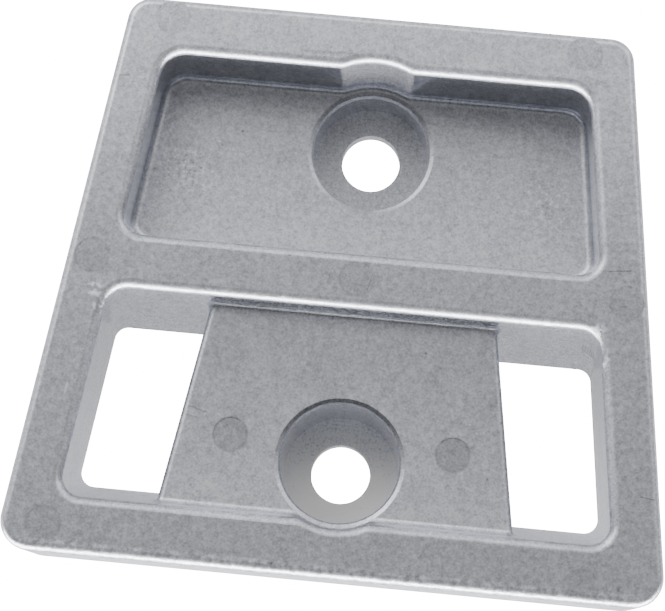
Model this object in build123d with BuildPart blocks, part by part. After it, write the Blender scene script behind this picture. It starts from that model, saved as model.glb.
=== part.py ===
from build123d import *
from math import radians, tan
import os

os.makedirs("parts", exist_ok=True)

# Overall casting, measured at the rim. The front is the wide end and the rim
# is the top. The outer walls lean in towards the underside.
length = 90.5
front_width = 104.2
back_width = 80.8
thickness = 20.0
outer_draft = 3.4
outer_edge_rounding = 1.25
front_corner_radius = 4.8
back_corner_radius = 4.0

# Rims round the two cavities, measured to the cavity's sharp edge.
front_rim = 8.9
back_rim = 8.8
crossbar = 8.5
recess_length = 33.9
recess_side_rim = 8.0
pocket_side_rim = 7.5
cavity_edge_rounding = 1.45
side_wall_draft = 0.4

# Closed pocket at the back.
pocket_depth = 10.3
pocket_end_draft = 7.0
pocket_floor_fillet = 1.1
pocket_front_corner = 3.0
pocket_back_corner = 4.0

# Open recess at the front, narrower at the underside.
recess_front_draft = 12.0
recess_back_draft = 8.5
recess_front_corner = 3.2
recess_back_corner = 3.6
window_corner = 2.2

# Bridge between the two windows.
bridge_depth = 4.3
bridge_front_width = 56.2
bridge_back_width = 45.2
bridge_edge_rounding = 1.0
bridge_end_fillet = 1.0

# Bolt seats, one in the pocket floor and one in the bridge.
back_seat_y = 25.35
front_seat_y = -26.65
seat_web = 2.6
seat_floor_radius = 9.1
seat_mouth_radius = 9.35
mouth_bevel = 0.6
mouth_break = 0.3
bolt_hole_diameter = 9.5

# Round clearance above each seat, which bites into the nearest end wall.
back_bite = 1.3
back_clearance_draft = 7.0
front_bite = 1.9
front_clearance_draft = 1.0
ridge_rounding = 2.5

# Round pin marks pressed a little below the surface.
pin_mark_radius = 2.7
pin_mark_depth = 0.12
rim_pin_marks = (
    (-33.4, 42.1),
    (32.8, 41.9),
    (0.0, 2.0),
    (42.5, 2.1),
    (-41.9, 2.0),
    (-44.5, -40.8),
)
bridge_pin_x = 17.5
bridge_pin_y = -23.7

# Positions that follow from the sizes above.
front_y = -length / 2
back_y = length / 2
side_slope = tan(radians(side_wall_draft))
recess_front_y = front_y + front_rim
recess_back_y = recess_front_y + recess_length
pocket_front_y = recess_back_y + crossbar
pocket_back_y = back_y - back_rim
window_front_y = recess_front_y + thickness * tan(radians(recess_front_draft))
window_back_y = recess_back_y - thickness * tan(radians(recess_back_draft))
bridge_z = thickness - bridge_depth
pocket_z = thickness - pocket_depth
pocket_foot_y = pocket_back_y - pocket_depth * tan(radians(pocket_end_draft))
bridge_foot_y = recess_front_y + bridge_depth * tan(radians(recess_front_draft))

# Cutters run past a face, and added pieces run into a wall, by the overshoot.
overshoot = 2.0
level_margin = 0.05


def rim_half(y):
    """Half width of the rim outline at a distance along the casting."""
    share = (y - front_y) / length
    return (front_width + (back_width - front_width) * share) / 2


def bridge_half(y):
    """Half width of the bridge top at a distance along the casting."""
    share = (y - recess_front_y) / recess_length
    return (bridge_front_width + (bridge_back_width - bridge_front_width) * share) / 2


def rounded_trapezoid(near_y, far_y, near_half, far_half, near_radius, far_radius):
    """Mirror-symmetric outline with rounded corners in the open sketch."""
    Polygon(
        (-near_half, near_y),
        (near_half, near_y),
        (far_half, far_y),
        (-far_half, far_y),
        align=None,
    )
    fillet(vertices().group_by(Axis.Y)[0], near_radius)
    fillet(vertices().group_by(Axis.Y)[-1], far_radius)


def cavity_outline(near_y, far_y, side_rim, depth, near_radius, far_radius):
    """Outline of a cavity at a depth below the rim plane."""
    side_shift = side_rim + depth * side_slope
    rounded_trapezoid(
        near_y,
        far_y,
        rim_half(near_y) - side_shift,
        rim_half(far_y) - side_shift,
        near_radius,
        far_radius,
    )


def level_edges(z):
    """Edges of the open part that lie in the flat faces at a height."""
    flat = faces().filter_by(Plane.XY)
    return flat.filter_by_position(Axis.Z, z - level_margin, z + level_margin).edges()


def edges_in_box(half_width, y_range, z_range):
    """Edges of the open part whose centre lies in a mirror-symmetric box."""
    inside = edges().filter_by_position(Axis.X, -half_width, half_width)
    inside = inside.filter_by_position(Axis.Y, *y_range)
    return inside.filter_by_position(Axis.Z, *z_range)


def clearance_cut(centre_y, floor_z, floor_radius, draft):
    """Round clearance with blended ridges where it breaks into the wall."""
    height = thickness + overshoot - floor_z
    with BuildSketch(Plane.XZ.offset(-centre_y)) as profile:
        Polygon(
            (0, floor_z),
            (floor_radius, floor_z),
            (floor_radius + height * tan(radians(draft)), floor_z + height),
            (0, floor_z + height),
            align=None,
        )
    revolve(profile.sketch, axis=Axis((0, centre_y, 0), (0, 0, 1)), mode=Mode.SUBTRACT)


def seat_cut(centre_y, mouth_z):
    """Bolt seat with a broken mouth, and its bolt hole."""
    with BuildSketch(Plane.XZ.offset(-centre_y)) as profile:
        Polygon(
            (0, seat_web),
            (seat_floor_radius, seat_web),
            (seat_mouth_radius, mouth_z - mouth_bevel - mouth_break),
            (seat_mouth_radius + mouth_break, mouth_z - mouth_break),
            (seat_mouth_radius + mouth_break + mouth_bevel, mouth_z),
            (seat_mouth_radius + mouth_break + mouth_bevel, mouth_z + overshoot),
            (0, mouth_z + overshoot),
            align=None,
        )
    revolve(profile.sketch, axis=Axis((0, centre_y, 0), (0, 0, 1)), mode=Mode.SUBTRACT)
    with Locations((0, centre_y, seat_web)):
        Hole(bolt_hole_diameter / 2)


with BuildPart() as anode_plate:
    with BuildSketch(Plane.XY.offset(thickness)):
        rounded_trapezoid(
            front_y,
            back_y,
            front_width / 2,
            back_width / 2,
            front_corner_radius,
            back_corner_radius,
        )
    extrude(amount=-thickness, taper=outer_draft)
    fillet(faces().sort_by(Axis.Z)[-1].edges(), outer_edge_rounding)

    # Pocket, narrower at its floor.
    for depth in (-overshoot, pocket_depth):
        lean = depth * tan(radians(pocket_end_draft))
        with BuildSketch(Plane.XY.offset(thickness - depth)):
            cavity_outline(
                pocket_front_y + lean,
                pocket_back_y - lean,
                pocket_side_rim,
                depth,
                pocket_front_corner,
                pocket_back_corner,
            )
    loft(mode=Mode.SUBTRACT)

    # Recess, straight through the casting.
    for depth in (-overshoot, thickness + overshoot):
        front_lean = depth * tan(radians(recess_front_draft))
        back_lean = depth * tan(radians(recess_back_draft))
        share = depth / thickness
        with BuildSketch(Plane.XY.offset(thickness - depth)):
            cavity_outline(
                recess_front_y + front_lean,
                recess_back_y - back_lean,
                recess_side_rim,
                depth,
                recess_front_corner + (window_corner - recess_front_corner) * share,
                recess_back_corner + (window_corner - recess_back_corner) * share,
            )
    loft(mode=Mode.SUBTRACT)

    # Clearances, their ridges blended into the end walls.
    back_radius = pocket_foot_y - back_seat_y + back_bite
    front_radius = front_seat_y - bridge_foot_y + front_bite
    clearance_cut(back_seat_y, pocket_z, back_radius, back_clearance_draft)
    clearance_cut(front_seat_y, bridge_z, front_radius, front_clearance_draft)
    back_span = (back_seat_y, pocket_back_y)
    front_span = (recess_front_y, front_seat_y)
    fillet(edges_in_box(back_radius, back_span, (pocket_z + level_margin, thickness)), ridge_rounding)
    fillet(edges_in_box(front_radius, front_span, (bridge_z + level_margin, thickness)), ridge_rounding)
    fillet(level_edges(pocket_z), pocket_floor_fillet)
    fillet(faces().sort_by(Axis.Z)[-1].inner_wires().edges(), cavity_edge_rounding)

    # Bridge, its ends buried in the recess walls.
    near_y = recess_front_y - overshoot
    far_y = recess_back_y + overshoot
    with BuildSketch(Plane.XY.offset(bridge_z)):
        Polygon(
            (-bridge_half(near_y), near_y),
            (bridge_half(near_y), near_y),
            (bridge_half(far_y), far_y),
            (-bridge_half(far_y), far_y),
            align=None,
        )
    extrude(amount=-bridge_z)
    bridge_sides = level_edges(bridge_z).sort_by(Axis.X)
    fillet([bridge_sides[0], bridge_sides[-1]], bridge_edge_rounding)
    above_base = (level_margin, bridge_z + level_margin)
    for wall_y, foot_y in ((recess_front_y, window_front_y), (recess_back_y, window_back_y)):
        span = (min(wall_y, foot_y) - overshoot, max(wall_y, foot_y) + level_margin)
        chain = edges_in_box(bridge_half(wall_y) + overshoot, span, above_base)
        fillet(chain, bridge_end_fillet)

    seat_cut(back_seat_y, pocket_z)
    seat_cut(front_seat_y, bridge_z)

    # Pin marks.
    with BuildSketch(Plane.XY.offset(thickness)):
        with Locations(*rim_pin_marks):
            Circle(pin_mark_radius)
    extrude(amount=-pin_mark_depth, mode=Mode.SUBTRACT)
    with BuildSketch(Plane.XY.offset(bridge_z)):
        with Locations((-bridge_pin_x, bridge_pin_y), (bridge_pin_x, bridge_pin_y)):
            Circle(pin_mark_radius)
    extrude(amount=-pin_mark_depth, mode=Mode.SUBTRACT)

anode_plate.part.label = "anode_plate"
export_step(anode_plate.part, "parts/anode_plate.step")
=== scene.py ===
from math import cos, hypot, radians, sin

import bpy
from mathutils import Matrix, Vector

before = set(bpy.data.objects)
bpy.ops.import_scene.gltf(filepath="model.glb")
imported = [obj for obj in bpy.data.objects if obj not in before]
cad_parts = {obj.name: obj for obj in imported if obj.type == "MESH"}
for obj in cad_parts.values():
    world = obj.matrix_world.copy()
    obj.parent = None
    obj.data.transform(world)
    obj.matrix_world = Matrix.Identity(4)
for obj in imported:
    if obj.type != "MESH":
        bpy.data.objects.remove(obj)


def writeSize():
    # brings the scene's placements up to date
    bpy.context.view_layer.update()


writeSize()

# Camera

cameraLook = {
    "place": (0.01019, -0.08212, 0.41110),
    "right": (0.995184, 0.096898, -0.014816),
    "up": (-0.091950, 0.975173, 0.201452),
    "ahead": (-0.033969, 0.199120, -0.979386),
    "lens": 138.06,
    "sensor": 36.0,
}


def makeCamera(look):
    data = bpy.data.cameras.new("photoCamera")
    data.lens = look["lens"]
    data.sensor_fit = "HORIZONTAL"
    data.sensor_width = look["sensor"]
    data.clip_start = 0.01
    camera = bpy.data.objects.new("photoCamera", data)
    turn = Matrix((look["right"], look["up"], -Vector(look["ahead"]))).transposed()
    camera.matrix_world = Matrix.Translation(look["place"]) @ turn.to_4x4()
    bpy.context.scene.collection.objects.link(camera)
    bpy.context.scene.camera = camera


makeCamera(cameraLook)
print("camera placed")

# Shader helpers


class Wire:
    # one output socket, on which arithmetic adds Math nodes
    def __init__(self, maker, socket):
        self.maker = maker
        self.socket = socket

    def math(self, operation, *inputs, clamp=False):
        return self.maker.node("ShaderNodeMath", {"operation": operation, "use_clamp": clamp}, {
            place: value for place, value in enumerate(inputs)})

    def __add__(self, other):
        return self.math("ADD", self, other)

    def __radd__(self, other):
        return self.math("ADD", other, self)

    def __sub__(self, other):
        return self.math("SUBTRACT", self, other)

    def __rsub__(self, other):
        return self.math("SUBTRACT", other, self)

    def __mul__(self, other):
        return self.math("MULTIPLY", self, other)

    def __rmul__(self, other):
        return self.math("MULTIPLY", other, self)

    def __truediv__(self, other):
        return self.math("DIVIDE", self, other)

    def clamped(self):
        return self.math("ADD", self, 0.0, clamp=True)

    def size(self):
        return self.math("ABSOLUTE", self)

    def exp(self):
        return self.math("EXPONENT", self)

    def larger(self, other):
        return self.math("MAXIMUM", self, other)

    def above(self, edge, soft):
        # 0 below the edge and 1 once it is passed by the soft width
        return ((self - edge) / soft).clamped()

    def below(self, edge, soft):
        return ((edge - self) / soft).clamped()


class Shader:
    def __init__(self, tree):
        self.tree = tree
        self.tree.nodes.clear()

    def node(self, kind, settings=None, inputs=None, output=0):
        # settings go in first, since some of them change the sockets
        made = self.tree.nodes.new(kind)
        for name, value in (settings or {}).items():
            setattr(made, name, value)
        for name, value in (inputs or {}).items():
            if isinstance(value, Wire):
                self.tree.links.new(value.socket, made.inputs[name])
            else:
                made.inputs[name].default_value = value
        return None if output is None else Wire(self, made.outputs[output])


def newMaterial(name):
    material = bpy.data.materials.new(name)
    material.use_nodes = True
    return material, Shader(material.node_tree)


def noise(shader, point, size, detail=2.0, roughness=0.5):
    # size is the width of one blotch in metres
    return shader.node("ShaderNodeTexNoise", {}, {
        "Vector": point, "Scale": 1 / size, "Detail": detail, "Roughness": roughness}, output="Fac")


def scaled(shader, colour, factor):
    # a colour made lighter or darker by a wire
    return shader.node("ShaderNodeVectorMath", {"operation": "SCALE"}, {0: colour, "Scale": factor})


# Cast metal

castLook = {
    "colour": (0.650, 0.662, 0.715),
    # painted shading: front place, lightness there, back place, lightness there, in place of shading the
    # lights don't give
    "rimPaintedShading": (0.006, 0.98, 0.042, 1.28),
    "pocketPaintedShading": (0.010, 1.30, 0.031, 0.84),
    "bridgePaintedShading": (-0.034, 1.32, -0.010, 0.92),
    "seatPaintedShading": (-0.034, 2.0, -0.018, 1.25),
    "floorRoughness": 0.42,
    "wallRoughness": 0.24,     # walls are smoother
    # painted light: walls made lighter all over
    "wallPaintedLight": 1.12,
    "rimRoughness": 0.39,
    "rimHeight": 0.0197,
    "pocketHeight": 0.0097,
    "bridgeHeight": 0.0157,
    "seatHeight": 0.0026,
    "heightTolerance": 0.0006,
    "placeSoft": 0.0001,       # width over which one place passes into the next
    "fineGrain": (0.00033, 1.05),   # blotch size and strength
    "grain": (0.0009, 0.65),
    "cloud": (0.0050, 0.26),
    "bumpDepth": 0.000012,
    "pinRadius": 0.0027,
    "markStrength": 1.4,
    "rimPins": [(-0.0334, 0.0421), (0.0328, 0.0419), (0.0, 0.002), (0.0425, 0.0021),
                (-0.0419, 0.002), (-0.0445, -0.0408), (0.0387, -0.0428)],
    "bridgePins": [(-0.0175, -0.0237), (0.0175, -0.0237)],
    "pinSoft": 0.0002,
    "pinRing": (0.00028, 0.00026),  # half width and soft edge of the ring round a pin mark
    "rimPinShade": 0.15,
    "rimDiscShare": 0.6,            # the disc is fainter than its ring
    "bridgePinShade": 0.25,
    "speckSize": 0.0008,
    "brightSpeck": 0.75,
    "darkSpeck": 0.45,
    # middle, reach and strength of rough speckled places on the pocket floor
    "speckles": [((-0.0290, 0.0190), 0.0065, 1.0), ((0.0295, 0.0190), 0.0060, 0.7)],
    # ends, half width and lightness of scratches
    "rimScratches": [
        ((-0.0126, 0.0384), (-0.0030, 0.0386), 0.00050, -0.22),
        ((-0.0411, 0.0316), (-0.0392, 0.0318), 0.00022, -0.40),
        ((0.0330, 0.0383), (0.0385, 0.0368), 0.00040, -0.16),
        ((0.0345, 0.0374), (0.0392, 0.0361), 0.00035, -0.18),
        ((0.0391, 0.0069), (0.0428, 0.0073), 0.00014, -0.45),
        ((0.0467, -0.0281), (0.0490, -0.0284), 0.00016, -0.45),
        ((-0.0045, 0.0014), (-0.0040, 0.0035), 0.00010, -0.25),
        ((0.0018, 0.0004), (0.0024, 0.0030), 0.00010, -0.25),
        ((-0.0436, -0.0205), (-0.0433, -0.0186), 0.00018, 0.40),
        ((-0.0110, 0.0048), (-0.0104, 0.0049), 0.00016, -0.50),
        ((-0.0361, -0.0366), (-0.0307, -0.0362), 0.00022, 0.45),
        ((0.0384, 0.0428), (0.0400, 0.0404), 0.00030, -0.18),
    ],
    "bridgeScratches": [
        ((-0.0247, -0.0198), (-0.0215, -0.0206), 0.00016, -0.30),
        ((-0.0250, -0.0212), (-0.0226, -0.0216), 0.00012, -0.25),
    ],
    # middle, radius and lightness of pits and bright specks
    "pocketSpots": [((-0.0211, 0.0270), 0.00032, -0.45), ((-0.0242, 0.0244), 0.00034, -0.35),
                    ((-0.0247, 0.0250), 0.00028, 0.35), ((-0.0170, 0.0229), 0.00028, 0.22)],
    "bridgeSpots": [((0.0119, -0.0080), 0.00030, -0.40), ((0.0232, -0.0271), 0.00026, -0.35),
                    ((-0.0042, -0.0261), 0.00026, -0.35), ((0.0066, -0.0308), 0.00026, -0.35),
                    ((-0.0229, -0.0323), 0.00030, -0.40), ((0.0183, -0.0323), 0.00030, 0.60),
                    ((-0.0154, -0.0330), 0.00030, 0.60), ((0.0198, -0.0187), 0.00024, 0.35),
                    ((0.0209, -0.0200), 0.00026, 0.40), ((0.0219, -0.0217), 0.00022, 0.35)],
    # middle, radius and strength of worn chips along the cavity edges
    "chips": [((-0.0408, -0.0034), 0.0016, 0.9), ((-0.0400, -0.0062), 0.0012, 0.7),
              ((0.0383, -0.0028), 0.0015, 0.8), ((0.0398, -0.0076), 0.0012, 0.7)],
    "chipLightness": 0.45,
    "tornSize": 0.0009,
    "raggedEdge": -0.0432,     # rough casting edge in front of this line
    "raggedHeight": 0.0165,    # and above this height
    "raggedContrast": 0.9,
    "roughnessSpread": 0.10,
    "chipRoughness": 0.25,
    # how far each pattern stands up under the bump
    "grainHeights": (0.6, 0.8),
    "raggedRelief": 6.0,
    "speckRelief": 3.0,
}


def distance(shader, flat, middle):
    return shader.node("ShaderNodeVectorMath", {"operation": "DISTANCE"}, {
        0: flat, 1: (middle[0], middle[1], 0.0)}, output="Value")


def atHeight(z, height, look):
    return (z - height).size().below(look["heightTolerance"], look["placeSoft"])


def paintedShadingRamp(y, ends):
    # painted shading: lightness that runs evenly from the front place to the back one
    front, frontTone, back, backTone = ends
    return y.above(front, back - front) * (backTone - frontTone) + frontTone


def strongest(masks):
    total = masks[0]
    for mask in masks[1:]:
        total = total.larger(mask)
    return total


def pinMarks(shader, flat, pins, look):
    # how far the nearest pin mark's disc and its ring are from here
    nearest = distance(shader, flat, pins[0])
    for pin in pins[1:]:
        nearest = nearest.math("MINIMUM", nearest, distance(shader, flat, pin))
    disc = nearest.below(look["pinRadius"], look["pinSoft"])
    ring = (nearest - look["pinRadius"]).size().below(*look["pinRing"])
    return disc, ring


def scratch(x, y, start, end, width):
    # soft line from one end to the other
    reach = hypot(end[0] - start[0], end[1] - start[1])
    alongX, alongY = (end[0] - start[0]) / reach, (end[1] - start[1]) / reach
    middleX, middleY = (start[0] + end[0]) / 2, (start[1] + end[1]) / 2
    along = (x - middleX) * alongX + (y - middleY) * alongY
    across = (y - middleY) * alongX - (x - middleX) * alongY
    return across.size().below(width, width) * along.size().below(reach / 2 + width, width * 2)


def castMetal(look):
    material, shader = newMaterial("castMetal")
    point = shader.node("ShaderNodeTexCoord", output="Object")
    normal = shader.node("ShaderNodeTexCoord", output="Normal")
    x = shader.node("ShaderNodeSeparateXYZ", {}, {"Vector": point}, output="X")
    y = shader.node("ShaderNodeSeparateXYZ", {}, {"Vector": point}, output="Y")
    z = shader.node("ShaderNodeSeparateXYZ", {}, {"Vector": point}, output="Z")
    up = shader.node("ShaderNodeSeparateXYZ", {}, {"Vector": normal}, output="Z")
    flat = shader.node("ShaderNodeCombineXYZ", {}, {"X": x, "Y": y})

    # places on the casting
    level = up.above(0.90, 0.085)
    onRim = z.above(look["rimHeight"] - look["placeSoft"], look["placeSoft"]) * level
    onBridge = atHeight(z, look["bridgeHeight"], look) * level
    onPocket = atHeight(z, look["pocketHeight"], look) * level
    onSeat = atHeight(z, look["seatHeight"], look) * level * y.below(0.0, 0.001)

    # grain and painted shading
    fine = noise(shader, point, look["fineGrain"][0], 2.0, 0.6)
    grain = noise(shader, point, look["grain"][0], 2.0, 0.5)
    cloud = noise(shader, point, look["cloud"][0], 2.0, 0.5)
    shade = 1.0 + (fine - 0.5) * look["fineGrain"][1]
    shade = shade + (grain - 0.5) * look["grain"][1]
    shade = shade + (cloud - 0.5) * look["cloud"][1]
    # painted shading: each place is made lighter or darker from its front to its back, where light and
    # shade fall
    paintedShadingPlaces = ((onRim, "rimPaintedShading"), (onPocket, "pocketPaintedShading"), (onBridge, "bridgePaintedShading"), (onSeat, "seatPaintedShading"))
    for place, key in paintedShadingPlaces:
        shade = shade * (1.0 + place * (paintedShadingRamp(y, look[key]) - 1.0))

    # pin marks
    disc, ring = pinMarks(shader, flat, look["rimPins"], look)
    shade = shade * (1.0 - (disc * look["rimDiscShare"] + ring) * onRim * look["rimPinShade"])
    disc, ring = pinMarks(shader, flat, look["bridgePins"], look)
    shade = shade * (1.0 - (disc + ring) * onBridge * look["bridgePinShade"])

    # speckled places, light and dark specks over the soft grain
    specks = [distance(shader, flat, middle).below(reach, reach) * strength
              for middle, reach, strength in look["speckles"]]
    rough = strongest(specks) * onPocket
    coarse = noise(shader, point, look["speckSize"], 2.0, 0.6)
    bright = coarse.above(0.58, 0.05) * look["brightSpeck"]
    dark = coarse.below(0.42, 0.05) * look["darkSpeck"]
    shade = shade + rough * (bright - dark)

    # scratches, pits and bright specks
    for key, place in (("rimScratches", onRim), ("bridgeScratches", onBridge)):
        for start, end, width, lightness in look[key]:
            strength = lightness * look["markStrength"]
            shade = shade + scratch(x, y, start, end, width) * place * strength
    for key, place in (("pocketSpots", onPocket), ("bridgeSpots", onBridge)):
        for middle, radius, lightness in look[key]:
            spot = distance(shader, flat, middle).below(radius, radius * 0.8)
            shade = shade + spot * place * (lightness * look["markStrength"])

    # painted light making the walls lighter, worn chips on the cavity edges and the rough front edge
    walls = up.size().below(0.3, 0.1)
    shade = shade * (1.0 + walls * (look["wallPaintedLight"] - 1.0))
    worn = strongest([distance(shader, flat, middle).below(radius, radius * 0.6) * strength
                      for middle, radius, strength in look["chips"]])
    torn = noise(shader, point, look["tornSize"], 2.0, 0.6)
    chipped = worn * torn.above(0.48, 0.04) * up.above(0.45, 0.1)
    shade = shade + chipped * look["chipLightness"]
    ragged = y.below(look["raggedEdge"], 0.0006) * z.above(look["raggedHeight"], 0.0010)
    shade = shade + ragged * (torn - 0.5) * look["raggedContrast"]

    turned = up.above(0.12, 0.15)
    roughness = look["wallRoughness"] + turned * (look["floorRoughness"] - look["wallRoughness"])
    roughness = roughness + onRim * (look["rimRoughness"] - look["floorRoughness"])
    roughness = roughness + (torn - 0.5) * look["roughnessSpread"] + chipped * look["chipRoughness"]
    fineHeight, grainHeight = look["grainHeights"]
    height = fine * fineHeight + grain * grainHeight
    height = height + ragged * torn * look["raggedRelief"] + rough * coarse * look["speckRelief"]
    bump = shader.node("ShaderNodeBump", {}, {
        "Strength": 1.0, "Distance": look["bumpDepth"], "Height": height}, output="Normal")
    surface = shader.node("ShaderNodeBsdfPrincipled", {}, {
        "Base Color": scaled(shader, look["colour"], shade),
        "Metallic": 1.0,
        "Roughness": roughness,
        "Normal": bump,
    }, output="BSDF")
    shader.node("ShaderNodeOutputMaterial", {}, {"Surface": surface}, output=None)
    return material


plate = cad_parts["anode_plate"]
plateMetal = castMetal(castLook)
for materialSlot in plate.material_slots:
    materialSlot.material = plateMetal
print("plate finished")

# Studio

studioLook = {
    "floorSize": 3.0,
    "floorGlow": 20.0,
    "floorColour": (0.8, 0.8, 0.8, 1.0),
    "floorBounce": 0.5,
    "backdrop": 0.9,
    "spread": 22.0,
    # turn from the right hand side, lean from overhead, strength
    "softLights": [
        (135, 52, 5.2), (45, 52, 2.4), (90, 42, 1.6), (90, 82, 1.3), (135, 82, 1.4), (45, 82, 1.4),
        (180, 85, 0.8), (-90, 22, 0.35), (0, 40, 0.3), (180, 32, 0.25), (0, 0, 0.24),
    ],
    # low strip of light in front, fading out towards both sides
    "stripLean": 87,
    "stripSharpness": 420.0,
    "stripStrength": 110.0,
}


def makeFloor(look):
    reach = look["floorSize"] / 2
    mesh = bpy.data.meshes.new("floor")
    corners = [(-reach, -reach, 0), (reach, -reach, 0), (reach, reach, 0), (-reach, reach, 0)]
    mesh.from_pydata(corners, [], [(0, 1, 2, 3)])
    floor = bpy.data.objects.new("floor", mesh)
    floor.location.z = -0.0002
    bpy.context.scene.collection.objects.link(floor)
    material, shader = newMaterial("paleFloor")
    seen = shader.node("ShaderNodeLightPath", output="Is Camera Ray")
    glow = seen * (look["floorGlow"] - look["floorBounce"]) + look["floorBounce"]
    surface = shader.node("ShaderNodeBsdfPrincipled", {}, {
        "Base Color": look["floorColour"],
        "Roughness": 0.9,
        "Emission Color": scaled(shader, (1.0, 1.0, 1.0), glow),
        "Emission Strength": 1.0,
    }, output="BSDF")
    shader.node("ShaderNodeOutputMaterial", {}, {"Surface": surface}, output=None)
    mesh.materials.append(material)


def towards(shader, way, turn, lean):
    # how far a direction of the surround points at a light
    outwards = sin(radians(lean))
    aim = (outwards * cos(radians(turn)), outwards * sin(radians(turn)), cos(radians(lean)))
    return shader.node("ShaderNodeVectorMath", {"operation": "DOT_PRODUCT"}, {
        0: way, 1: aim}, output="Value")


def makeSurround(look):
    world = bpy.data.worlds.new("studio")
    world.use_nodes = True
    shader = Shader(world.node_tree)
    way = shader.node("ShaderNodeTexCoord", output="Generated")
    light = 0.0
    for turn, lean, strength in look["softLights"]:
        light = light + ((towards(shader, way, turn, lean) - 1.0) * look["spread"]).exp() * strength
    side = towards(shader, way, 90, 90 - look["stripLean"])
    inFront = towards(shader, way, -90, look["stripLean"]).above(0.25, 0.5)
    light = light + (side * side * -look["stripSharpness"]).exp() * inFront * look["stripStrength"]
    seen = shader.node("ShaderNodeLightPath", output="Is Camera Ray")
    surround = shader.node("ShaderNodeBackground", {}, {
        "Color": (1.0, 1.0, 1.0, 1.0),
        "Strength": light * (1.0 - seen) + seen * look["backdrop"],
    })
    shader.node("ShaderNodeOutputWorld", {}, {"Surface": surround}, output=None)
    bpy.context.scene.world = world


makeFloor(studioLook)
makeSurround(studioLook)
print("studio lit")

writeSize()
